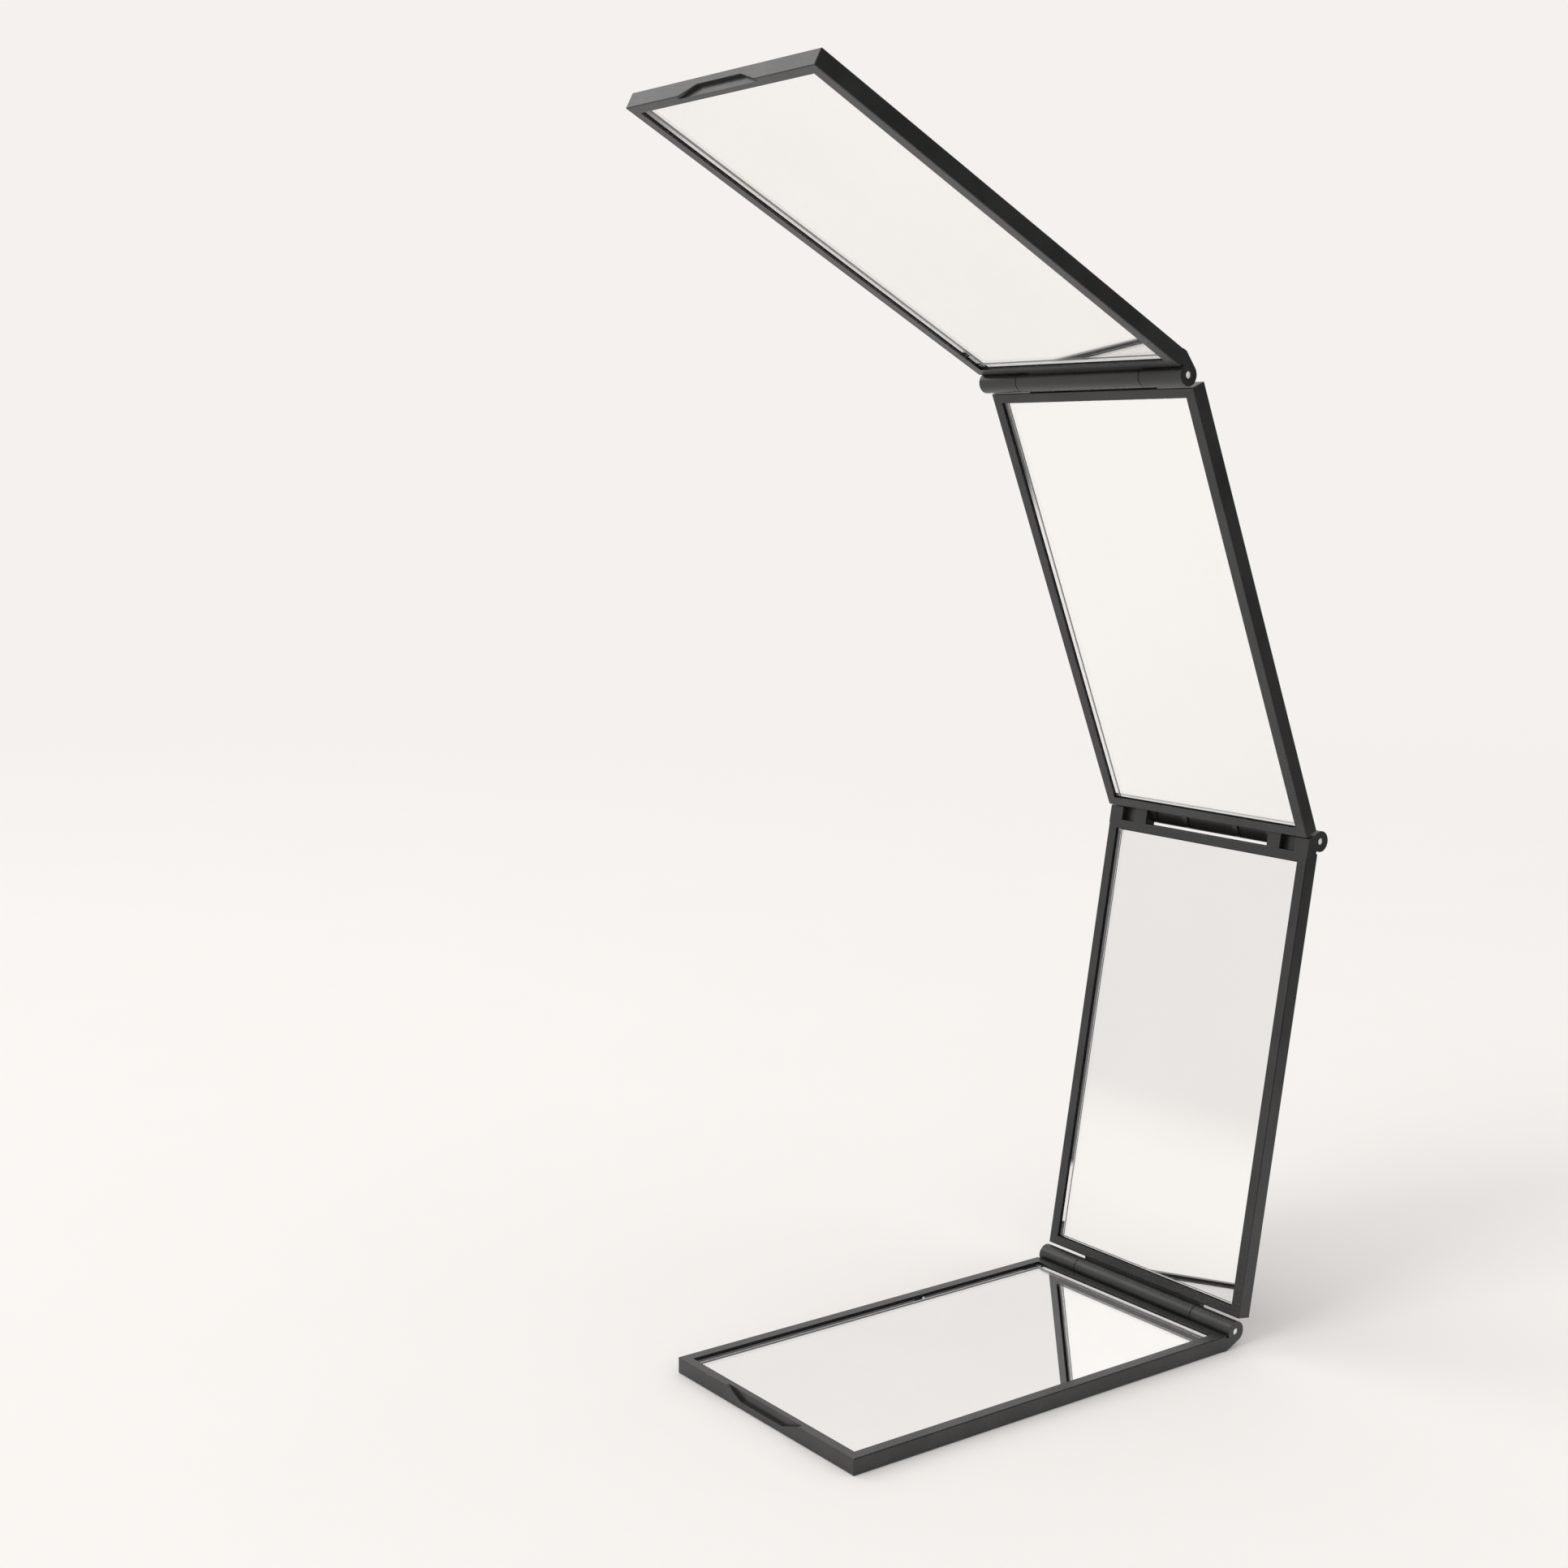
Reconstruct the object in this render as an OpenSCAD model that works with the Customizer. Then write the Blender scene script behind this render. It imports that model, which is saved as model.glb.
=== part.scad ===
// Folding multi-angle mirror: four slim trays in a zigzag chain, each with a glass mirror,
// joined end to end by three pinned hinges. Millimetres, Z up.
// X runs along the hinge pins, the free end of the base tray points to -Y, and the origin
// is the middle of the base tray's underside.

/* [Trays] */
// Width of every tray, along the hinge pins
tray_w = 60; // [52:1:80]
// Thickness of every tray, rim to back
tray_t = 3.5; // [3.2:0.1:4.5]
// Distance between the two hinge axes of a middle tray
axis_pitch = 108.4; // [90:0.2:130]
// How much shorter an end tray is than that pitch, which keeps the folded free ends apart
free_end_short = 2.35; // [2.35:0.05:6]
// Distance from a hinge axis to the end of the tray's body
end_setback = 2.8; // [2.7:0.1:3.4]
// Width of the rim along the long sides
side_rim = 2.5; // [1.5:0.1:4]
// Width of the rim across the ends
end_rim = 2.1; // [1.6:0.1:4]
// Radius along the outer edges of a tray
edge_r = 0.25; // [0.15:0.05:0.5]

/* [Mirrors] */
// Depth of the glass face below the rim
mirror_recess = 0.6; // [0.2:0.05:0.8]
// Thickness of the mirror glass
glass_t = 1; // [0.8:0.1:1.6]
// Gap all round the glass
glass_gap = 0.2; // [0.1:0.05:0.5]
// Width of the ground arris along the front edges of the glass
glass_arris = 0.1; // [0.05:0.05:0.3]
// Thickness of the double-sided adhesive sheet behind the glass
adhesive_t = 0.25; // [0.15:0.05:0.4]
// Margin of the adhesive sheet inside the edges of the glass
adhesive_margin = 2; // [0.5:0.5:10]

/* [Hinges] */
// Half of the gap between two trays folded flat together
fold_gap = 0.3; // [0.2:0.05:0.5]
// Diameter of the steel hinge pins
pin_d = 1.5; // [1:0.1:2]
// Depth of each pin end below the side of the tray
pin_inset = 0.25; // [0.1:0.05:1]
// Radial clearance of a pin in the knuckle that turns on it
pin_clearance = 0.05; // [0.02:0.01:0.09]
// Radial clearance of a pin in the knuckles that grip it
pin_grip_clearance = 0.01; // [0.01:0.01:0.03]
// Outer diameter of the knuckles
knuckle_d = 4.6; // [3.6:0.1:5]
// Length of the single middle knuckle
middle_knuckle_w = 36.4; // [30:0.2:40]
// Gap between neighbouring knuckles
knuckle_gap = 0.2; // [0.1:0.05:0.4]
// Depth of the groove between a knuckle and the face that its hinge folds towards
knuckle_groove = 0.6; // [0.3:0.1:0.8]
// Thickness of the closed wall below that groove
knuckle_wall = 1; // [0.8:0.1:1.5]
// Thickness of the webs in a cored knuckle
web_t = 1.5; // [1:0.1:2]
// Distance from the middle of the tray to each inner web
inner_web_x = 7.6; // [5:0.2:10]
// Width of the stop webs that limit the back hinge
stop_web_w = 3.6; // [2:0.1:4]
// Width of the full ends of the back hinge's outer knuckles
knuckle_end_w = 3.9; // [2:0.1:5]
// Gap between a stop web and the tray that it stops
stop_gap = 0.08; // [0.02:0.01:0.2]
// Gap between a full knuckle end and that tray
knuckle_end_gap = 0.6; // [0.3:0.1:1]

/* [Thumb notches] */
// Width of a thumb notch at the rim
notch_w = 25; // [16:1:40]
// Width of a thumb notch at its bottom
notch_floor_w = 14; // [8:1:30]
// Height of a thumb notch below the rim
notch_h = 1.9; // [1:0.1:2.2]
// Depth of a thumb notch into the free end
notch_depth = 0.8; // [0.4:0.1:1.2]

/* [Pose] */
// Angle between the mirrors of the base and lower trays
base_open = 99.3; // [60:0.1:150]
// Angle between the backs of the lower and upper trays, which is where the stop webs hold
back_open = 212; // [190:0.5:212]
// Angle between the mirrors of the upper and top trays
top_open = 140.3; // [90:0.1:170]

/* [Hidden] */

// Colours
plastic_color = [0.24, 0.24, 0.24];
glass_color = [0.88, 0.89, 0.88];
adhesive_color = [0.95, 0.94, 0.90];
steel_color = [0.75, 0.76, 0.77];

// Roundness of bores and pins, and of the small edge radii
round_fn = 48;
edge_fn = 24;

// A cut passes this far through the face that it opens
through = 1;

// Hinge sizes
knuckle_r = knuckle_d / 2;
pin_r = pin_d / 2;
middle_half = middle_knuckle_w / 2;
outer_start = middle_half + knuckle_gap;
half_w = tray_w / 2;
pin_len = tray_w - 2 * pin_inset;

// Tray sizes along its length, counted from the hinge axis
free_end = axis_pitch - free_end_short;
far_setback = axis_pitch - end_setback;

// Glass and adhesive are stacked on the floor of the tray
recess_depth = mirror_recess + glass_t + adhesive_t;
glass_back = -mirror_recess - glass_t;

// Place of the first hinge
base_axis_y = (free_end + end_setback) / 2;
base_axis_z = tray_t + fold_gap;

// Outline of a hinge in its own axes: the pin is at 0, 0, the tray lies towards +Y, and the
// face that the hinge folds towards is at -fold_gap, with the tray's other face below it.
near_face = -fold_gap;
far_face = -fold_gap - tray_t;
groove_floor = near_face - knuckle_groove;
pocket_floor = groove_floor - knuckle_wall;

// A knuckle's root reaches into the tray by half of the end rim
root_y = end_setback + end_rim / 2;

// Point where a line from the far corner of the tray's end touches the knuckle
far_corner = [end_setback, far_face];
touch_angle = atan2(far_corner[1], far_corner[0]) - acos(knuckle_r / norm(far_corner));
far_touch = [knuckle_r * cos(touch_angle), knuckle_r * sin(touch_angle)];

// The neighbour's end face on the stop, with a gap, at a height v in the neighbour's own axes
stop_angle = back_open - 180;
function on_stop(gap, v) = [
    (gap - end_setback) * cos(stop_angle) - v * sin(stop_angle),
    (gap - end_setback) * sin(stop_angle) + v * cos(stop_angle)
];
function stop_top_v(gap) = (far_face + (end_setback - gap) * sin(stop_angle)) / cos(stop_angle);

// A bar along X with a rounded rectangular section in Y and Z
module rounded_section(a0, a1, b0, b1) {
    for (a = [a0 + edge_r, a1 - edge_r])
        for (b = [b0 + edge_r, b1 - edge_r])
            translate([a, b])
                circle(r = edge_r, $fn = edge_fn);
    translate([a0 + edge_r, b0])
        square([a1 - a0 - 2 * edge_r, b1 - b0]);
    translate([a0, b0 + edge_r])
        square([a1 - a0, b1 - b0 - 2 * edge_r]);
}

// Extrudes a Y and Z outline along X
module along_x(x0, x1) {
    translate([x0, 0, 0])
        rotate([90, 0, 90])
            linear_extrude(x1 - x0)
                children();
}

// A round rod along X
module rod(x0, x1, r) {
    translate([x0, 0, 0])
        rotate([0, 90, 0])
            cylinder(r = r, h = x1 - x0, $fn = round_fn);
}

// Body of a tray, its mirror side up, from y0 to y1, without its recess
module tray_block(y0, y1) {
    intersection() {
        along_x(-half_w, half_w)
            rounded_section(y0, y1, -tray_t, 0);
        translate([0, y1, 0])
            rotate([90, 0, 0])
                linear_extrude(y1 - y0)
                    rounded_section(-half_w, half_w, -tray_t, 0);
        translate([0, 0, -tray_t])
            linear_extrude(tray_t)
                rounded_section(-half_w, half_w, y0, y1);
    }
}

// Recess that holds the adhesive and the glass
module mirror_recess_cut(y0, y1) {
    translate([-half_w + side_rim, y0 + end_rim, -recess_depth])
        cube([tray_w - 2 * side_rim, y1 - y0 - 2 * end_rim, recess_depth + through]);
}

// Outline of a barrel, and a root of it that runs into the tray from a floor up to the groove
module rooted_barrel_outline(floor_z) {
    circle(r = knuckle_r, $fn = round_fn);
    translate([0, floor_z])
        square([root_y, groove_floor - floor_z]);
}

// Outline of a solid knuckle: its root slopes to the far corner of the tray's end
module solid_outline() {
    circle(r = knuckle_r, $fn = round_fn);
    polygon([
        [0, groove_floor], [root_y, groove_floor], [root_y, far_face], far_corner, far_touch
    ]);
}

// Outline between the webs of a cored knuckle: its barrel has a flat at the pocket's floor
module cored_outline() {
    difference() {
        rooted_barrel_outline(pocket_floor);
        translate([-knuckle_r, pocket_floor - knuckle_r])
            square([2 * knuckle_r, knuckle_r]);
    }
}

// Outline that is flush with the tray's face, and then follows the neighbour's end face
module flush_outline(gap) {
    polygon([
        [0, 0], [0, groove_floor], [root_y, groove_floor], [root_y, far_face],
        on_stop(gap, stop_top_v(gap)), on_stop(gap, near_face)
    ]);
}

// Solid knuckle between x0 and x1
module solid_knuckle(x0, x1) {
    along_x(x0, x1)
        solid_outline();
}

// Middle knuckle: a wall on the folding side, four webs, and three pockets between them
module cored_middle_knuckle() {
    along_x(-middle_half, middle_half)
        cored_outline();
    for (x = [-middle_half, -inner_web_x - web_t / 2, inner_web_x - web_t / 2, middle_half - web_t])
        along_x(x, x + web_t)
            rooted_barrel_outline(-knuckle_r);
}

// Solid outer knuckles of an end tray
module solid_outer_knuckles() {
    solid_knuckle(-half_w, -outer_start);
    solid_knuckle(outer_start, half_w);
}

// One outer knuckle of the back hinge, on the +X side: stop web, shallow pocket, full end
module stop_knuckle() {
    along_x(outer_start, half_w)
        rooted_barrel_outline(-knuckle_r);
    along_x(outer_start, outer_start + stop_web_w)
        flush_outline(stop_gap);
    along_x(half_w - knuckle_end_w, half_w)
        flush_outline(knuckle_end_gap);
}

module stop_outer_knuckles() {
    stop_knuckle();
    mirror([1, 0, 0])
        stop_knuckle();
}

// Bores through the outer and middle knuckles
module grip_bore() {
    rod(-half_w - through, half_w + through, pin_r + pin_grip_clearance);
}

module running_bore() {
    rod(-half_w - through, half_w + through, pin_r + pin_clearance);
}

// Places of the hinges in a tray's own axes. A tray starts at y = 0, its mirror face is z = 0.
module at_near_mirror_hinge() {
    translate([0, 0, fold_gap])
        children();
}

module at_far_mirror_hinge() {
    translate([0, axis_pitch, fold_gap])
        mirror([0, 1, 0])
            children();
}

module at_near_back_hinge() {
    translate([0, 0, -tray_t - fold_gap])
        mirror([0, 0, 1])
            children();
}

module at_far_back_hinge() {
    translate([0, axis_pitch, -tray_t - fold_gap])
        mirror([0, 1, 0])
            mirror([0, 0, 1])
                children();
}

// Scoop in the free end of an end tray for a thumb
module thumb_notch_cut() {
    translate([0, free_end + through, 0])
        rotate([90, 0, 0])
            linear_extrude(notch_depth + through)
                polygon([
                    [-notch_w / 2, 0], [-notch_floor_w / 2, -notch_h],
                    [notch_floor_w / 2, -notch_h], [notch_w / 2, 0],
                    [notch_w / 2, through], [-notch_w / 2, through]
                ]);
}

// Tray at either end of the chain: outer knuckles at one end, thumb notch at the other
module end_tray() {
    difference() {
        union() {
            tray_block(end_setback, free_end);
            at_near_mirror_hinge()
                solid_outer_knuckles();
        }
        mirror_recess_cut(end_setback, free_end);
        at_near_mirror_hinge()
            grip_bore();
        thumb_notch_cut();
    }
}

// Tray above the base: middle knuckle on the mirror side, outer knuckles on the back
module lower_middle_tray() {
    difference() {
        union() {
            tray_block(end_setback, far_setback);
            at_near_mirror_hinge()
                cored_middle_knuckle();
            at_far_back_hinge()
                stop_outer_knuckles();
        }
        mirror_recess_cut(end_setback, far_setback);
        at_near_mirror_hinge()
            running_bore();
        at_far_back_hinge()
            grip_bore();
    }
}

// Tray below the top: middle knuckles on the back and on the mirror side
module upper_middle_tray() {
    difference() {
        union() {
            tray_block(end_setback, far_setback);
            at_near_back_hinge()
                cored_middle_knuckle();
            at_far_mirror_hinge()
                cored_middle_knuckle();
        }
        mirror_recess_cut(end_setback, far_setback);
        at_near_back_hinge()
            running_bore();
        at_far_mirror_hinge()
            running_bore();
    }
}

// Mirror glass for the recess between y0 and y1, its front edges ground to an arris
module glass_outline(a0, a1) {
    polygon([
        [a0, glass_back], [a1, glass_back], [a1, -mirror_recess - glass_arris],
        [a1 - glass_arris, -mirror_recess], [a0 + glass_arris, -mirror_recess],
        [a0, -mirror_recess - glass_arris]
    ]);
}

module mirror_glass(y0, y1) {
    x0 = -half_w + side_rim + glass_gap;
    g0 = y0 + end_rim + glass_gap;
    g1 = y1 - end_rim - glass_gap;
    intersection() {
        along_x(x0, -x0)
            glass_outline(g0, g1);
        translate([0, g1, 0])
            rotate([90, 0, 0])
                linear_extrude(g1 - g0)
                    glass_outline(x0, -x0);
    }
}

// Adhesive sheet on the floor of the recess between y0 and y1
module adhesive_sheet(y0, y1) {
    inset = glass_gap + adhesive_margin;
    x0 = -half_w + side_rim + inset;
    a0 = y0 + end_rim + inset;
    a1 = y1 - end_rim - inset;
    translate([x0, a0, -recess_depth])
        cube([-2 * x0, a1 - a0, adhesive_t]);
}

module hinge_pin() {
    rod(-pin_len / 2, pin_len / 2, pin_r);
}

// The chain: each placement takes a piece from its tray's own axes to the assembled pose
module in_base() {
    translate([0, base_axis_y, tray_t])
        rotate([0, 0, 180])
            children();
}

module in_lower() {
    translate([0, base_axis_y, base_axis_z])
        rotate([180 - base_open, 0, 0])
            translate([0, 0, -fold_gap])
                children();
}

module in_upper() {
    in_lower()
        translate([0, axis_pitch, -tray_t - fold_gap])
            rotate([back_open - 180, 0, 0])
                translate([0, 0, tray_t + fold_gap])
                    children();
}

module in_top() {
    in_upper()
        translate([0, axis_pitch, fold_gap])
            rotate([180 - top_open, 0, 0])
                translate([0, 0, -fold_gap])
                    children();
}

module base_tray() {
    color(plastic_color)
        in_base()
            end_tray();
}

module lower_tray() {
    color(plastic_color)
        in_lower()
            lower_middle_tray();
}

module upper_tray() {
    color(plastic_color)
        in_upper()
            upper_middle_tray();
}

module top_tray() {
    color(plastic_color)
        in_top()
            end_tray();
}

module base_mirror() {
    color(glass_color)
        in_base()
            mirror_glass(end_setback, free_end);
}

module lower_mirror() {
    color(glass_color)
        in_lower()
            mirror_glass(end_setback, far_setback);
}

module upper_mirror() {
    color(glass_color)
        in_upper()
            mirror_glass(end_setback, far_setback);
}

module top_mirror() {
    color(glass_color)
        in_top()
            mirror_glass(end_setback, free_end);
}

module base_adhesive() {
    color(adhesive_color)
        in_base()
            adhesive_sheet(end_setback, free_end);
}

module lower_adhesive() {
    color(adhesive_color)
        in_lower()
            adhesive_sheet(end_setback, far_setback);
}

module upper_adhesive() {
    color(adhesive_color)
        in_upper()
            adhesive_sheet(end_setback, far_setback);
}

module top_adhesive() {
    color(adhesive_color)
        in_top()
            adhesive_sheet(end_setback, free_end);
}

module base_hinge_pin() {
    color(steel_color)
        in_base()
            at_near_mirror_hinge()
                hinge_pin();
}

module back_hinge_pin() {
    color(steel_color)
        in_lower()
            at_far_back_hinge()
                hinge_pin();
}

module top_hinge_pin() {
    color(steel_color)
        in_top()
            at_near_mirror_hinge()
                hinge_pin();
}

base_tray();
lower_tray();
upper_tray();
top_tray();
base_mirror();
lower_mirror();
upper_mirror();
top_mirror();
base_adhesive();
lower_adhesive();
upper_adhesive();
top_adhesive();
base_hinge_pin();
back_hinge_pin();
top_hinge_pin();
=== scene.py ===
"""Folding multi-angle mirror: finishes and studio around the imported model.

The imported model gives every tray, glass, adhesive sheet and hinge pin in its place. This
file adds the silvering behind each glass, gives every piece its finish and sets the object
on a pale studio floor. Lengths are metres in the model's own frame: X runs along the hinge
pins, the free end of the base panel points to -Y, Z is up and the floor is at zero.
"""

import logging
import math
from dataclasses import dataclass, field
from enum import Enum

import bpy
import numpy as np
from mathutils import Matrix, Vector


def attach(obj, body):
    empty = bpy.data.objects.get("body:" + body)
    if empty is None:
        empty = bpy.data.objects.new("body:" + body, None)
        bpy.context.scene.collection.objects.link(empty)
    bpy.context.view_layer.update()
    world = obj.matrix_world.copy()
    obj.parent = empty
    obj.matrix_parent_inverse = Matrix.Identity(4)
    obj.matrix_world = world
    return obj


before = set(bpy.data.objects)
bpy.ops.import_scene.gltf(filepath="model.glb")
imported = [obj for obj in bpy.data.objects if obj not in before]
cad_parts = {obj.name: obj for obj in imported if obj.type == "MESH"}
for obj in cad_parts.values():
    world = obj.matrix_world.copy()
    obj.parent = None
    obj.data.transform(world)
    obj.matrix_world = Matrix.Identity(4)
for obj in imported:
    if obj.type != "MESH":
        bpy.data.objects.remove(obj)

log = logging.getLogger("folding_mirror")

Colour = tuple[float, float, float, float]
Span = tuple[float, float]
Socket = bpy.types.NodeSocket
MM = 0.001


def display(red: float, green: float, blue: float) -> Colour:
    """Turns a display colour into the linear colour that shaders use.

    Args:
        red: Red on the 0 to 255 display scale.
        green: Green on the same scale.
        blue: Blue on the same scale.

    Returns:
        The linear colour with full alpha.
    """
    tones = np.array([red, green, blue]) / 255
    low, high = tones / 12.92, ((tones + 0.055) / 1.055) ** 2.4
    linear = np.where(tones <= 0.04045, low, high)
    return (float(linear[0]), float(linear[1]), float(linear[2]), 1.0)


class PanelName(Enum):
    """The four panels, from the one on the table to the one at the top."""

    BASE = "base"
    LOWER = "lower"
    UPPER = "upper"
    TOP = "top"

    @property
    def is_end(self) -> bool:
        """True for the two panels that have a free end."""
        return self in (PanelName.BASE, PanelName.TOP)


class PinName(Enum):
    """The three hinge pins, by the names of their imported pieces."""

    BASE = "base_hinge_pin"
    BACK = "back_hinge_pin"
    TOP = "top_hinge_pin"


@dataclass(frozen=True)
class ChainSizes:
    """Sizes that place the panels and the glass in them, as in the part's source."""

    half_width: float = 30 * MM
    thickness: float = 3.5 * MM
    pitch: float = 108.4 * MM
    free_end: float = 106.05 * MM
    setback: float = 2.8 * MM
    side_rim: float = 2.5 * MM
    end_rim: float = 2.1 * MM
    fold_gap: float = 0.3 * MM
    mirror_recess: float = 0.6 * MM
    glass: float = 1.0 * MM
    glass_gap: float = 0.2 * MM
    arris: float = 0.1 * MM
    pin_half_length: float = 29.75 * MM
    base_open: float = 99.3
    back_open: float = 212.0
    top_open: float = 140.3

    def body_end(self, panel: PanelName) -> float:
        """Distance from a panel's first hinge axis to the far end of its tray."""
        return self.free_end if panel.is_end else self.pitch - self.setback

    def place(self, panel: PanelName) -> Matrix:
        """Finds where a panel stands in the photographed pose.

        A panel's own axes have X along its hinge pin, Y from its first hinge axis along
        the panel and Z out of the mirror face, which is at zero.

        Args:
            panel: The panel to place.

        Returns:
            The matrix from the panel's own axes to the model's frame.
        """
        axis_y = (self.free_end + self.setback) / 2
        if panel is PanelName.BASE:
            turned = Matrix.Rotation(math.pi, 4, "Z")
            return Matrix.Translation((0, axis_y, self.thickness)) @ turned
        step_back = self.thickness + self.fold_gap
        to_axis = Matrix.Translation((0, 0, -self.fold_gap))
        lower = (
            Matrix.Translation((0, axis_y, step_back))
            @ Matrix.Rotation(math.radians(180 - self.base_open), 4, "X")
            @ to_axis
        )
        if panel is PanelName.LOWER:
            return lower
        upper = (
            lower
            @ Matrix.Translation((0, self.pitch, -step_back))
            @ Matrix.Rotation(math.radians(self.back_open - 180), 4, "X")
            @ Matrix.Translation((0, 0, step_back))
        )
        if panel is PanelName.UPPER:
            return upper
        return (
            upper
            @ Matrix.Translation((0, self.pitch, self.fold_gap))
            @ Matrix.Rotation(math.radians(180 - self.top_open), 4, "X")
            @ to_axis
        )


class ShaderSheet:
    """A material, or the world, while its nodes are being wired."""

    usual_noise: Span = (0.3, 0.7)

    def __init__(self, owner: bpy.types.Material | bpy.types.World) -> None:
        """Empties the owner's node tree and keeps it."""
        owner.use_nodes = True
        self.tree = owner.node_tree
        self.tree.nodes.clear()

    @classmethod
    def for_material(cls, name: str) -> "ShaderSheet":
        """Starts a new material of that name."""
        sheet = cls(material := bpy.data.materials.new(name))
        sheet.material = material
        return sheet

    def add(self, kind: str, **settings: object) -> bpy.types.Node:
        """Adds a node.

        Args:
            kind: The node's type, without the leading ShaderNode.
            settings: Properties of the node, by name.

        Returns:
            The new node.
        """
        node = self.tree.nodes.new("ShaderNode" + kind)
        for name, value in settings.items():
            setattr(node, name, value)
        return node

    def feed(self, node: bpy.types.Node, **values: object) -> bpy.types.Node:
        """Sets or links a node's inputs.

        Args:
            node: The node to feed.
            values: A constant or an output socket for each input. An underscore in a
                name stands for a space, and a name such as in1 is an input's number.

        Returns:
            The same node.
        """
        for name, value in values.items():
            key = int(name[2:]) if name[2:].isdigit() else name.replace("_", " ")
            if isinstance(value, bpy.types.NodeSocket):
                self.tree.links.new(value, node.inputs[key])
            else:
                node.inputs[key].default_value = value
        return node

    def math(self, operation: str, first: object, second: object) -> Socket:
        """Adds a clamped sum, product or other operation and returns its result."""
        node = self.add("Math", operation=operation, use_clamp=True)
        return self.feed(node, in0=first, in1=second).outputs[0]

    def band(self, value: object, reach: Span, low: float, high: float) -> Socket:
        """Maps a value smoothly from the reach to low..high and returns the result."""
        node = self.add("MapRange", interpolation_type="SMOOTHSTEP")
        start, stop = reach
        self.feed(node, Value=value, From_Min=start, From_Max=stop, To_Min=low, To_Max=high)
        return node.outputs[0]

    def noise(self, point: Socket, size: float, detail: float, rough: float = 0.5) -> Socket:
        """Adds a noise with features of a real size in metres and returns its value."""
        node = self.add("TexNoise", noise_dimensions="3D")
        self.feed(node, Vector=point, Scale=1 / size, Detail=detail, Roughness=rough)
        return node.outputs[0]

    def blend_colour(self, share: object, first: object, second: object) -> Socket:
        """Mixes two colours by a share and returns the result."""
        node = self.add("Mix", data_type="RGBA", clamp_factor=True)
        return self.feed(node, in0=share, in6=first, in7=second).outputs[2]

    def blend_value(self, first: Socket, second: Socket, share: float) -> Socket:
        """Adds two values, of which the first counts by the share, and returns the sum."""
        part = self.math("MULTIPLY", first, share)
        return self.math("ADD", part, self.math("MULTIPLY", second, 1 - share))

    def coordinate(self, point: Socket, axis: int) -> Socket:
        """Gives one coordinate of a point, 0 for X, 1 for Y or 2 for Z."""
        return self.feed(self.add("SeparateXYZ"), Vector=point).outputs[axis]

    def off_middle(self, point: Socket) -> Socket:
        """Gives a point's distance from the middle plane, along X to either side."""
        node = self.add("Math", operation="ABSOLUTE")
        return self.feed(node, in0=self.coordinate(point, 0)).outputs[0]

    def bump(self, height: Socket, strength: float, distance: float) -> Socket:
        """Adds a bump from a height and returns the normal that it gives."""
        node = self.add("Bump")
        return self.feed(node, Strength=strength, Distance=distance, Height=height).outputs[0]

    def object_point(self, place: Matrix | None = None) -> Socket:
        """Gives the surface point, in the model's axes or in a panel's own axes.

        Args:
            place: The panel's place, or None for the model's axes.

        Returns:
            The socket that holds the point in metres.
        """
        point = self.add("TexCoord").outputs["Object"]
        if place is None:
            return point
        inverse = place.inverted()
        mapping = self.add("Mapping", vector_type="POINT")
        self.feed(
            mapping,
            Vector=point,
            Location=inverse.to_translation(),
            Rotation=inverse.to_euler(),
        )
        return mapping.outputs[0]

    def principled(self, **values: object) -> None:
        """Adds the surface shader with these inputs and sends it to the output."""
        self.finish(self.feed(self.add("BsdfPrincipled"), **values).outputs[0])

    def finish(self, shader: Socket) -> None:
        """Sends a shader to the output."""
        kind = "OutputMaterial" if hasattr(self, "material") else "OutputWorld"
        self.feed(self.add(kind), Surface=shader)


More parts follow.
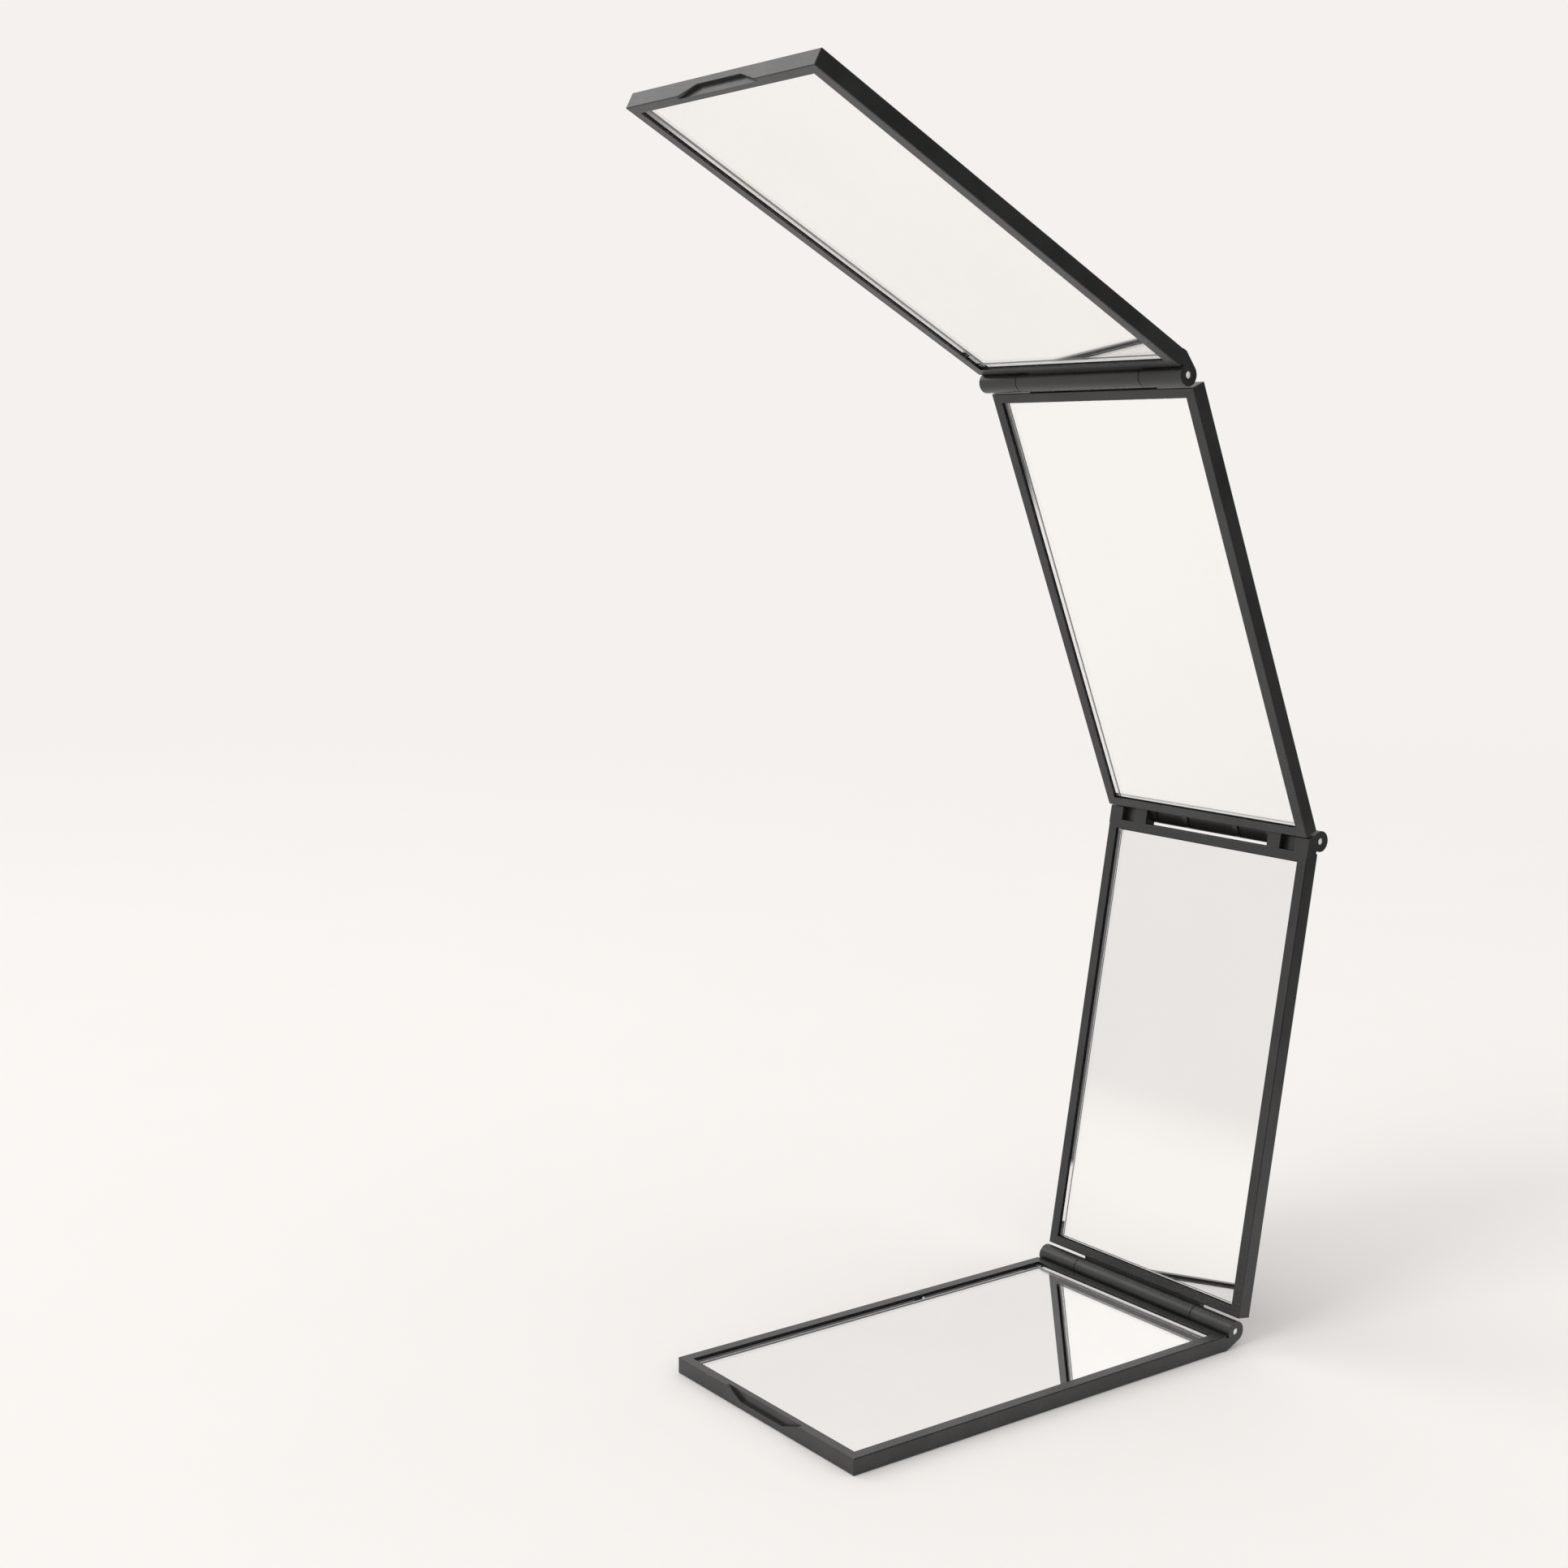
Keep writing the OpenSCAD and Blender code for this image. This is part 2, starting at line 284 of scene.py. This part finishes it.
@dataclass(frozen=True)
class MouldedPlastic:
    """Charcoal plastic with the fine texture of a spark-eroded mould."""

    deep: Colour = display(28, 29, 28)
    pale: Colour = display(38, 39, 38)
    mottle: float = 9 * MM
    mottle_detail: float = 3.0
    grain: float = 0.22 * MM
    grain_detail: float = 2.0
    grain_roughness: float = 0.6
    grain_height: float = 0.006 * MM
    grain_strength: float = 0.35
    mottle_in_tone: float = 0.75
    tone_reach: Span = (0.35, 0.65)
    mottle_in_shine: float = 0.2
    smooth: float = 0.25
    rough: float = 0.36
    edge: float = 0.35 * MM
    edge_polish: float = 0.08
    refraction: float = 1.54

    def material(
        self, name: str, place: Matrix, sizes: ChainSizes, end: float
    ) -> bpy.types.Material:
        """Builds the plastic of one tray.

        Args:
            name: The material's name.
            place: The tray's place in the model's frame.
            sizes: The sizes of the chain.
            end: Distance from the tray's first hinge axis to its far end.

        Returns:
            The material.
        """
        sheet = ShaderSheet.for_material(name)
        point = sheet.object_point()
        broad = sheet.noise(point, self.mottle, self.mottle_detail)
        fine = sheet.noise(point, self.grain, self.grain_detail, self.grain_roughness)
        mixed = sheet.blend_value(broad, fine, self.mottle_in_tone)
        tone = sheet.band(mixed, self.tone_reach, 0.0, 1.0)
        mixed = sheet.blend_value(broad, fine, self.mottle_in_shine)
        dull = sheet.band(mixed, sheet.usual_noise, self.rough, self.smooth)
        handled = self.handled_edges(sheet, place, sizes, end)
        polish = sheet.math("MULTIPLY", handled, self.edge_polish)
        sheet.principled(
            Base_Color=sheet.blend_colour(tone, self.deep, self.pale),
            Roughness=sheet.math("SUBTRACT", dull, polish),
            IOR=self.refraction,
            Normal=sheet.bump(fine, self.grain_strength, self.grain_height),
        )
        return sheet.material

    def handled_edges(
        self, sheet: ShaderSheet, place: Matrix, sizes: ChainSizes, end: float
    ) -> Socket:
        """Marks the outer edges, which fingers polish first.

        A point counts by how near it lies to the side walls or the far end and, at the
        same time, to the rim or back plane of the tray.

        Args:
            sheet: The sheet that the nodes go on.
            place: The tray's place in the model's frame.
            sizes: The sizes of the chain.
            end: Distance from the tray's first hinge axis to its far end.

        Returns:
            The socket that holds 1 on an edge and 0 away from it.
        """
        point = sheet.object_point(place)
        across = sheet.off_middle(point)
        along, height = sheet.coordinate(point, 1), sheet.coordinate(point, 2)
        back_plane = -sizes.thickness
        walls = (sizes.half_width - self.edge, sizes.half_width)
        side = sheet.band(across, walls, 0.0, 1.0)
        rim = sheet.band(height, (-self.edge, 0.0), 0.0, 1.0)
        back = sheet.band(height, (back_plane, back_plane + self.edge), 1.0, 0.0)
        far = sheet.band(along, (end - self.edge, end), 0.0, 1.0)
        planes = sheet.math("ADD", rim, back)
        return sheet.math("MULTIPLY", sheet.math("ADD", side, far), planes)


@dataclass(frozen=True)
class MirrorGlass:
    """Clear float glass with cut sides and a fine ground arris along its front edges."""

    tint: Colour = (0.992, 0.995, 0.991, 1.0)
    refraction: float = 1.52
    ground: float = 0.3
    slack: float = 0.1
    scuff: float = 0.4 * MM
    scuff_detail: float = 2.0
    least_scuffed: float = 0.7

    def material(
        self, name: str, place: Matrix, sizes: ChainSizes, half_width: float, ends: Span
    ) -> bpy.types.Material:
        """Builds the glass of one mirror.

        Args:
            name: The material's name.
            place: The panel's place in the model's frame.
            sizes: The sizes of the chain.
            half_width: Half of the glass's width.
            ends: The two ends of the glass along the panel, the nearer one first.

        Returns:
            The material.
        """
        sheet = ShaderSheet.for_material(name)
        point = sheet.object_point(place)
        across = sheet.off_middle(point)
        along, height = sheet.coordinate(point, 1), sheet.coordinate(point, 2)
        near, far = ends[0] + sizes.arris, ends[1] - sizes.arris
        side = half_width - sizes.arris
        foot = -sizes.mirror_recess - sizes.arris
        slack = self.slack * sizes.arris
        sides = sheet.band(across, (side, side + slack), 0.0, 1.0)
        first = sheet.band(along, (near - slack, near), 1.0, 0.0)
        last = sheet.band(along, (far, far + slack), 0.0, 1.0)
        front = sheet.band(height, (foot - slack, foot), 0.0, 1.0)
        around = sheet.math("ADD", sheet.math("ADD", sides, first), last)
        frosted = sheet.math("MULTIPLY", around, front)
        grit = sheet.noise(sheet.object_point(), self.scuff, self.scuff_detail)
        scuffed = sheet.band(grit, sheet.usual_noise, self.least_scuffed, 1.0)
        rough = sheet.math("MULTIPLY", sheet.math("MULTIPLY", frosted, scuffed), self.ground)
        sheet.principled(
            Base_Color=self.tint,
            Transmission_Weight=1.0,
            IOR=self.refraction,
            Roughness=rough,
        )
        return sheet.material


@dataclass(frozen=True)
class SilverFinish:
    """Silver deposited on the glass, as bright as a household mirror."""

    bright: Colour = (0.975, 0.972, 0.972, 1.0)
    dim: Colour = (0.962, 0.962, 0.958, 1.0)
    cloud: float = 35 * MM
    cloud_detail: float = 2.0

    def material(self) -> bpy.types.Material:
        """Builds the silver with a faint unevenness in its brightness."""
        sheet = ShaderSheet.for_material("silvering")
        broad = sheet.noise(sheet.object_point(), self.cloud, self.cloud_detail)
        share = sheet.band(broad, sheet.usual_noise, 0.0, 1.0)
        colour = sheet.blend_colour(share, self.dim, self.bright)
        sheet.principled(Base_Color=colour, Metallic=1.0, Roughness=0.0)
        return sheet.material


@dataclass(frozen=True)
class SteelWire:
    """Drawn steel wire with lines along it; its sheared ends carry a painted highlight."""

    bright: Colour = display(208, 208, 206)
    dark: Colour = display(150, 150, 149)
    # Near-white painted highlight for the sheared pin ends, not the steel's own colour.
    painted_end_highlight: Colour = display(242, 242, 240)
    line: float = 0.08 * MM
    line_detail: float = 2.0
    line_roughness: float = 0.6
    line_stretch: float = 0.04
    smooth: float = 0.22
    rough: float = 0.34
    cut: float = 0.04 * MM
    # Little metal on the sheared ends keeps the painted highlight pale.
    painted_end_highlight_metal: float = 0.2

    def material(self, half_length: float) -> bpy.types.Material:
        """Builds the steel of the hinge pins.

        Args:
            half_length: Half of a pin's length.

        Returns:
            The material.
        """
        sheet = ShaderSheet.for_material("pin_steel")
        point = sheet.object_point()
        along = sheet.add("Mapping", vector_type="POINT")
        sheet.feed(along, Vector=point, Scale=Vector((self.line_stretch, 1.0, 1.0)))
        lines = sheet.noise(along.outputs[0], self.line, self.line_detail, self.line_roughness)
        share = sheet.band(lines, sheet.usual_noise, 0.0, 1.0)
        drawn = sheet.blend_colour(share, self.dark, self.bright)
        off = sheet.off_middle(point)
        sheared = (half_length - 2 * self.cut, half_length - self.cut)
        # The sheared ends get the painted highlight: a pale colour with little metal.
        sheet.principled(
            Base_Color=sheet.blend_colour(sheet.band(off, sheared, 0.0, 1.0), drawn, self.painted_end_highlight),
            Metallic=sheet.band(off, sheared, 1.0, self.painted_end_highlight_metal),
            Roughness=sheet.band(lines, sheet.usual_noise, self.rough, self.smooth),
        )
        return sheet.material


@dataclass(frozen=True)
class AdhesiveFoam:
    """Off-white foam tape with closed cells."""

    cell: Colour = display(232, 229, 220)
    wall: Colour = display(206, 202, 190)
    cell_size: float = 0.35 * MM
    wall_share: float = 0.25
    cell_depth: float = 0.02 * MM
    cell_strength: float = 0.5
    rough: float = 0.8

    def material(self) -> bpy.types.Material:
        """Builds the foam of the adhesive sheets."""
        sheet = ShaderSheet.for_material("adhesive_foam")
        cells = sheet.add("TexVoronoi", feature="DISTANCE_TO_EDGE")
        sheet.feed(cells, Vector=sheet.object_point(), Scale=1 / self.cell_size)
        depth = sheet.band(cells.outputs[0], (0.0, self.wall_share), 0.0, 1.0)
        sheet.principled(
            Base_Color=sheet.blend_colour(depth, self.wall, self.cell),
            Roughness=self.rough,
            Normal=sheet.bump(depth, self.cell_strength, self.cell_depth),
        )
        return sheet.material


def dress(obj: bpy.types.Object, material: bpy.types.Material) -> None:
    """Gives an object one material in all its slots, of which it gets one if it has none.

    Args:
        obj: The object to dress.
        material: The finish that it gets.
    """
    if not obj.data.materials:
        obj.data.materials.append(material)
    for slot in obj.material_slots:
        slot.material = material


def grid_object(
    name: str, points: np.ndarray, quads: np.ndarray, tips: np.ndarray
) -> bpy.types.Object:
    """Puts a computed surface into a new object.

    Args:
        name: The object's name.
        points: One row per vertex, in metres.
        quads: One row of four vertex numbers per face.
        tips: One row of three vertex numbers per face at a middle.

    Returns:
        The object, linked to the scene.
    """
    mesh = bpy.data.meshes.new(name)
    mesh.from_pydata(points.tolist(), [], quads.tolist() + tips.tolist())
    mesh.update()
    mesh.validate()
    obj = bpy.data.objects.new(name, mesh)
    bpy.context.scene.collection.objects.link(obj)
    return obj


def ring_quads(rings: int, spokes: int) -> np.ndarray:
    """Numbers the faces between neighbouring rings of a surface closed around its rings.

    Vertex k of ring j has the number j * spokes + k, so a face joins k and k + 1 of one
    ring to those of the next.

    Args:
        rings: How many rings of vertices there are.
        spokes: How many vertices each ring has.

    Returns:
        One row of four vertex numbers per face.
    """
    ring, spoke = np.meshgrid(np.arange(rings - 1), np.arange(spokes), indexing="ij")
    after = (spoke + 1) % spokes
    inner, outer = ring * spokes, (ring + 1) * spokes
    corners = [inner + spoke, inner + after, outer + after, outer + spoke]
    return np.stack(corners, axis=-1).reshape(-1, 4)


@dataclass
class Panel:
    """One panel: its moulded tray, its glass with the silvering, and its adhesive."""

    name: PanelName
    sizes: ChainSizes
    coat_inset: float = 0.02 * MM
    coat_corner: float = 0.35 * MM
    coat_front: float = 0.015 * MM
    coat_back: float = 0.003 * MM
    inner_ring: float = 0.5
    wide_circle: float = 40
    spokes: int = 96
    place: Matrix = field(init=False)

    def __post_init__(self) -> None:
        """Finds the panel's place."""
        self.place = self.sizes.place(self.name)

    @property
    def glass_ends(self) -> Span:
        """The two ends of the glass along the panel."""
        inset = self.sizes.end_rim + self.sizes.glass_gap
        return self.sizes.setback + inset, self.sizes.body_end(self.name) - inset

    @property
    def glass_half_width(self) -> float:
        """Half of the glass's width."""
        return self.sizes.half_width - self.sizes.side_rim - self.sizes.glass_gap

    def silvering_surface(self) -> tuple[np.ndarray, np.ndarray, np.ndarray]:
        """Works out the silvering, a closed sheet just inside the back of the glass.

        At turn v the outline is a wide circle held inside the rectangle's inner corners
        plus a small circle of the corner radius. At level u the point is the outline
        scaled by a share that rises from the front's middle to the edge and falls to the
        back's middle, at the height of the front and then of the back.

        Returns:
            The points in the model's frame, the four-sided faces and the faces at the
            two middles.
        """
        near, far = self.glass_ends
        half = np.array([self.glass_half_width, (far - near) / 2]) - self.coat_inset
        turn = np.linspace(0, 2 * np.pi, self.spokes, endpoint=False) + np.pi / self.spokes
        ray = np.stack([np.cos(turn), np.sin(turn)], axis=-1)
        inner = half - self.coat_corner
        wide = ray * self.wide_circle * half.max()
        outline = np.clip(wide, -inner, inner) + self.coat_corner * ray
        back_plane = -self.sizes.mirror_recess - self.sizes.glass
        heights = np.repeat([self.coat_front, self.coat_back], 2) + back_plane
        shares = np.array([self.inner_ring, 1.0, 1.0, self.inner_ring])
        rings = np.concatenate(
            [
                shares[:, None, None] * outline[None],
                np.broadcast_to(heights[:, None, None], (len(shares), self.spokes, 1)),
            ],
            axis=-1,
        ).reshape(-1, 3)
        middles = np.array([[0, 0, heights[0]], [0, 0, heights[-1]]])
        points = np.concatenate([rings, middles]) + np.array([0, (near + far) / 2, 0])
        first, last = len(rings), (len(shares) - 1) * self.spokes
        spoke = np.arange(self.spokes)
        after = (spoke + 1) % self.spokes
        front = np.stack([np.full_like(spoke, first), spoke, after], axis=-1)
        back = np.stack([np.full_like(spoke, first + 1), last + after, last + spoke], axis=-1)
        place = np.array(self.place)
        return (
            points @ place[:3, :3].T + place[:3, 3],
            ring_quads(len(shares), self.spokes)[:, ::-1],
            np.concatenate([front, back]),
        )

    def add_silvering(self, finish: bpy.types.Material) -> bpy.types.Object:
        """Adds the silvering and lets it ride with the panel's body.

        Args:
            finish: The silver.

        Returns:
            The silvering's object.
        """
        coat = grid_object(f"{self.name.value}_silvering", *self.silvering_surface())
        dress(coat, finish)
        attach(coat, self.name.value)
        return coat

    def build(
        self,
        nodes: dict[str, bpy.types.Object],
        silver: bpy.types.Material,
        foam: bpy.types.Material,
    ) -> None:
        """Dresses the panel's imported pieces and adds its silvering.

        Args:
            nodes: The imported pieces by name.
            silver: The finish of the silvering.
            foam: The finish of the adhesive sheet.
        """
        key, place, sizes = self.name.value, self.place, self.sizes
        end = sizes.body_end(self.name)
        plastic = MouldedPlastic().material(f"{key}_plastic", place, sizes, end)
        dress(nodes[f"{key}_tray"], plastic)
        glass = MirrorGlass().material(
            f"{key}_glass", place, sizes, self.glass_half_width, self.glass_ends
        )
        dress(nodes[f"{key}_mirror"], glass)
        dress(nodes[f"{key}_adhesive"], foam)
        coat = self.add_silvering(silver)
        log.info("%s panel dressed, with %s", key, coat.name)


@dataclass(frozen=True)
class PhotoCamera:
    """The camera that took the photograph, as fitted to the corners of the trays."""

    azimuth: float = 53.496
    elevation: float = 8.163
    roll: float = 0.327
    place: tuple[float, float, float] = (341.56 * MM, -299.62 * MM, 190.06 * MM)
    lens: float = 50.814
    sensor: float = 36
    clip: Span = (0.01, 50)

    def build(self) -> bpy.types.Object:
        """Adds the camera and makes it the scene's.

        Returns:
            The camera's object.
        """
        around, above, tilt = map(math.radians, (self.azimuth, self.elevation, self.roll))
        ahead = math.cos(above)
        back = Vector((math.sin(around) * ahead, -math.cos(around) * ahead, math.sin(above)))
        level = Vector((math.cos(around), math.sin(around), 0))
        upright = back.cross(level)
        right = level * math.cos(tilt) + upright * math.sin(tilt)
        up = upright * math.cos(tilt) - level * math.sin(tilt)
        lens = bpy.data.cameras.new("photo_camera")
        lens.lens, lens.sensor_width = self.lens, self.sensor
        lens.clip_start, lens.clip_end = self.clip
        camera = bpy.data.objects.new("photo_camera", lens)
        turned = Matrix((right, up, back)).transposed().to_4x4()
        camera.matrix_world = Matrix.Translation(self.place) @ turned
        bpy.context.scene.collection.objects.link(camera)
        bpy.context.scene.camera = camera
        return camera


@dataclass(frozen=True)
class Softbox:
    """A square studio lamp aimed at the middle of the object, unseen in the mirrors."""

    name: str
    place: tuple[float, float, float]
    size: float
    watts: float
    in_gloss: bool
    tint: tuple[float, float, float] = (1.0, 0.995, 0.99)
    aim: tuple[float, float, float] = (0.0, 0.0, 0.11)

    def build(self) -> bpy.types.Object:
        """Adds the lamp.

        Returns:
            The lamp's object.
        """
        light = bpy.data.lights.new(self.name, "AREA")
        light.shape, light.size = "SQUARE", self.size
        light.energy, light.color = self.watts, self.tint
        lamp = bpy.data.objects.new(self.name, light)
        lamp.location = self.place
        towards = Vector(self.aim) - Vector(self.place)
        lamp.rotation_euler = towards.to_track_quat("-Z", "Y").to_euler()
        lamp.visible_transmission = False
        lamp.visible_glossy = self.in_gloss
        bpy.context.scene.collection.objects.link(lamp)
        return lamp


@dataclass(frozen=True)
class StudioPaper:
    """Matt paper that lies near the object and passes into the backdrop further off."""

    deep: Colour = display(249, 245, 242)
    pale: Colour = display(251, 247, 244)
    cloud: float = 60 * MM
    cloud_detail: float = 2.0
    tooth: float = 0.5 * MM
    tooth_detail: float = 3.0
    tooth_strength: float = 0.15
    tooth_height: float = 0.02 * MM
    rough: float = 0.9
    gleam: float = 0.2
    fade: Span = (0.12, 1.4)
    gloss_fade: Span = (0.12, 0.5)
    brink_course: tuple[float, float, float] = (0.804, -0.595, 0.0)
    brink: Span = (0.25, 0.3)

    def surface(self, sheet: ShaderSheet, point: Socket) -> Socket:
        """Gives the paper's own shader at a point."""
        tooth = sheet.noise(point, self.tooth, self.tooth_detail)
        cloud = sheet.noise(point, self.cloud, self.cloud_detail)
        paper = sheet.feed(
            sheet.add("BsdfPrincipled"),
            Base_Color=sheet.blend_colour(cloud, self.deep, self.pale),
            Roughness=self.rough,
            Specular_IOR_Level=self.gleam,
            Normal=sheet.bump(tooth, self.tooth_strength, self.tooth_height),
        )
        return paper.outputs[0]

    def gone(self, sheet: ShaderSheet, point: Socket) -> Socket:
        """Works out how far the paper has passed into the backdrop at a point.

        It fades with the distance from the object, and sooner where it is seen in plain
        gloss. A ray that leaves glass counts as glossy too, so plain gloss is glossy
        without transmission. For every ray but the camera's the paper also ends at a
        brink, a straight line across the course towards the front right.

        Args:
            sheet: The sheet that the nodes go on.
            point: The point on the floor.

        Returns:
            The socket that holds 0 for paper and 1 for backdrop.
        """
        path = sheet.add("LightPath").outputs
        length = sheet.add("VectorMath", operation="LENGTH")
        distance = sheet.feed(length, in0=point).outputs["Value"]
        in_gloss = sheet.math("SUBTRACT", path["Is Glossy Ray"], path["Is Transmission Ray"])
        sooner = sheet.band(distance, self.gloss_fade, 0.0, 1.0)
        faded = sheet.math(
            "MAXIMUM",
            sheet.band(distance, self.fade, 0.0, 1.0),
            sheet.math("MULTIPLY", sooner, in_gloss),
        )
        product = sheet.add("VectorMath", operation="DOT_PRODUCT")
        ahead = sheet.feed(product, in0=point, in1=self.brink_course).outputs["Value"]
        past = sheet.band(ahead, self.brink, 0.0, 1.0)
        indirect = sheet.math("SUBTRACT", 1.0, path["Is Camera Ray"])
        return sheet.math("MAXIMUM", faded, sheet.math("MULTIPLY", past, indirect))


@dataclass(frozen=True)
class Studio:
    """The pale floor, the light that comes from all round, and the lamps."""

    backdrop: Colour = display(245, 241, 238)
    horizon: Colour = display(237, 234, 231)
    air: Colour = (1.0, 0.995, 0.99, 1.0)
    ambient: float = 0.83
    side_reach: Span = (-0.2, 0.8)
    dim_side: float = 0.12
    sky_reach: Span = (0.3, 0.7)
    high_sky: float = 1.2
    floor_level: float = -0.05 * MM
    floor_radius: float = 4.0
    rings: int = 40
    spokes: int = 96
    paper: StudioPaper = StudioPaper()
    lamps: tuple[Softbox, ...] = (
        Softbox("key_softbox", (0.0, -2.35, 2.0), 1.25, 21.0, in_gloss=False),
        Softbox("left_softbox", (-2.25, -1.0, 1.75), 1.4, 7.5, in_gloss=True),
    )

    def seen_directly(self, sheet: ShaderSheet) -> Socket:
        """Marks rays from the camera, from a glossy surface or through glass."""
        path = sheet.add("LightPath").outputs
        seen = sheet.math("ADD", path["Is Camera Ray"], path["Is Glossy Ray"])
        return sheet.math("ADD", seen, path["Is Transmission Ray"])

    def backdrop_glow(self, sheet: ShaderSheet, kind: str, direction: Socket) -> Socket:
        """Gives the backdrop's glow.

        It is even for the camera. In mirrors and gloss it is dim on the right and
        brighter high up.

        Args:
            sheet: The sheet that the nodes go on.
            kind: The type of the glowing node, Background or Emission.
            direction: The direction from the object to the point that is seen.

        Returns:
            The shader that mixes the two.
        """
        across, upward = sheet.coordinate(direction, 0), sheet.coordinate(direction, 2)
        left = sheet.band(across, self.side_reach, 1.0, self.dim_side)
        high = sheet.band(upward, self.sky_reach, 1.0, self.high_sky)
        rise = sheet.feed(sheet.add("Math", operation="MULTIPLY"), in0=left, in1=high)
        mirrored = sheet.feed(sheet.add(kind), Color=self.horizon, Strength=rise.outputs[0])
        direct = sheet.feed(sheet.add(kind), Color=self.backdrop, Strength=1.0)
        path = sheet.add("LightPath").outputs
        mix = sheet.feed(
            sheet.add("MixShader"),
            in0=path["Is Camera Ray"],
            in1=mirrored.outputs[0],
            in2=direct.outputs[0],
        )
        return mix.outputs[0]

    def build_world(self) -> None:
        """Wires the world: the backdrop where it is seen, and an even soft light."""
        world = bpy.data.worlds.new("studio")
        bpy.context.scene.world = world
        sheet = ShaderSheet(world)
        light = sheet.feed(sheet.add("Background"), Color=self.air, Strength=self.ambient)
        direction = sheet.add("TexCoord").outputs["Generated"]
        shown = self.backdrop_glow(sheet, "Background", direction)
        mix = sheet.add("MixShader")
        sheet.feed(mix, in0=self.seen_directly(sheet), in1=light.outputs[0], in2=shown)
        sheet.finish(mix.outputs[0])

    def floor_material(self) -> bpy.types.Material:
        """Builds the floor: the paper, and the backdrop's glow where the paper is gone."""
        sheet = ShaderSheet.for_material("studio_paper")
        point = sheet.object_point()
        normalize = sheet.add("VectorMath", operation="NORMALIZE")
        direction = sheet.feed(normalize, in0=point).outputs[0]
        glow = self.backdrop_glow(sheet, "Emission", direction)
        paper = self.paper.surface(sheet, point)
        share = sheet.math("MULTIPLY", self.paper.gone(sheet, point), self.seen_directly(sheet))
        mix = sheet.feed(sheet.add("MixShader"), in0=share, in1=paper, in2=glow)
        sheet.finish(mix.outputs[0])
        return sheet.material

    def build_floor(self) -> bpy.types.Object:
        """Adds the floor, a disc whose rings widen from the middle outwards.

        At share u and turn v the point lies at radius u squared times the floor's
        radius, so the faces are small near the object.

        Returns:
            The floor's object.
        """
        share = np.linspace(0, 1, self.rings + 1)[1:]
        turn = np.linspace(0, 2 * np.pi, self.spokes, endpoint=False)
        radius, angle = np.meshgrid(self.floor_radius * share**2, turn, indexing="ij")
        level = np.full_like(radius, self.floor_level)
        axes = [radius * np.cos(angle), radius * np.sin(angle), level]
        rings = np.stack(axes, axis=-1).reshape(-1, 3)
        points = np.concatenate([rings, [[0, 0, self.floor_level]]])
        spoke = np.arange(self.spokes)
        after = (spoke + 1) % self.spokes
        tips = np.stack([np.full_like(spoke, len(rings)), spoke, after], axis=-1)
        quads = ring_quads(self.rings, self.spokes)[:, ::-1]
        floor = grid_object("studio_floor", points, quads, tips)
        dress(floor, self.floor_material())
        return floor

    def build(self) -> None:
        """Adds the world, the floor and the lamps, and sets the plain view."""
        bpy.context.scene.view_settings.view_transform = "Standard"
        self.build_world()
        floor = self.build_floor()
        log.info("%s laid at %.5f m", floor.name, self.floor_level)
        for lamp in self.lamps:
            log.info("%s hung, %.1f W", lamp.build().name, lamp.watts)


def main() -> None:
    """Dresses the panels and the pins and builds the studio."""
    logging.basicConfig(level=logging.INFO, format="%(name)s: %(message)s")
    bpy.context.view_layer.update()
    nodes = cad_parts
    sizes = ChainSizes()
    silver, foam = SilverFinish().material(), AdhesiveFoam().material()
    for name in PanelName:
        Panel(name, sizes).build(nodes, silver, foam)
    steel = SteelWire().material(sizes.pin_half_length)
    for pin in PinName:
        dress(nodes[pin.value], steel)
        log.info("%s dressed", pin.value)
    Studio().build()
    log.info("%s placed", PhotoCamera().build().name)


if __name__ == "__main__":
    main()
